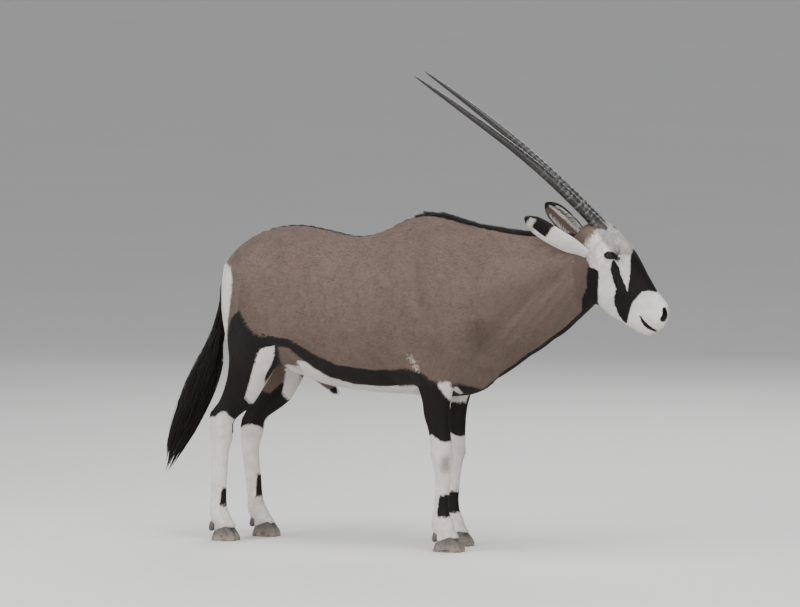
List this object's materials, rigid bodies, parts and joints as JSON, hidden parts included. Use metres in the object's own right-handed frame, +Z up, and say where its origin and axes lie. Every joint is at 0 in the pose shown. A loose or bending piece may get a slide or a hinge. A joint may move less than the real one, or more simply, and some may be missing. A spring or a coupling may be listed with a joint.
{
  "type": "gemsbok",
  "caption": "Standing life-size antelope with long straight ringed horns swept back, a lowered turned head and a black hair tail",
  "frame": {"origin": "on the floor under the middle of the bounding box", "axes": "+X toward the animal's head, +Y toward its left side, +Z up; the soles stand at z = 0"},
  "size_m": [1.9093, 0.4827, 1.6875],
  "materials": {
    "coat": "short warm grey-fawn fur with black and white markings",
    "ear": "pale short fur with a black tip",
    "dark_hair": "long coarse black hair",
    "horn": "dark ringed horn, smoother toward the tip",
    "eye": "wet dark brown eye",
    "hoof": "dull black hoof horn"
  },
  "bodies": {
    "root": {"torso": "coat", "neck": "coat", "head": "coat", "foreleg_right": "coat", "foreleg_left": "coat", "hindleg_right": "coat", "hindleg_left": "coat", "ear_right": "ear", "ear_left": "ear", "tail": "dark_hair", "mane": "dark_hair", "horn_right": "horn", "horn_left": "horn", "eye_right": "eye", "eye_left": "eye", "hoof_foreleg_right_inner": "hoof", "hoof_foreleg_right_outer": "hoof", "hoof_foreleg_left_inner": "hoof", "hoof_foreleg_left_outer": "hoof", "hoof_hindleg_right_inner": "hoof", "hoof_hindleg_right_outer": "hoof", "hoof_hindleg_left_inner": "hoof", "hoof_hindleg_left_outer": "hoof"}
  },
  "joints": []
}
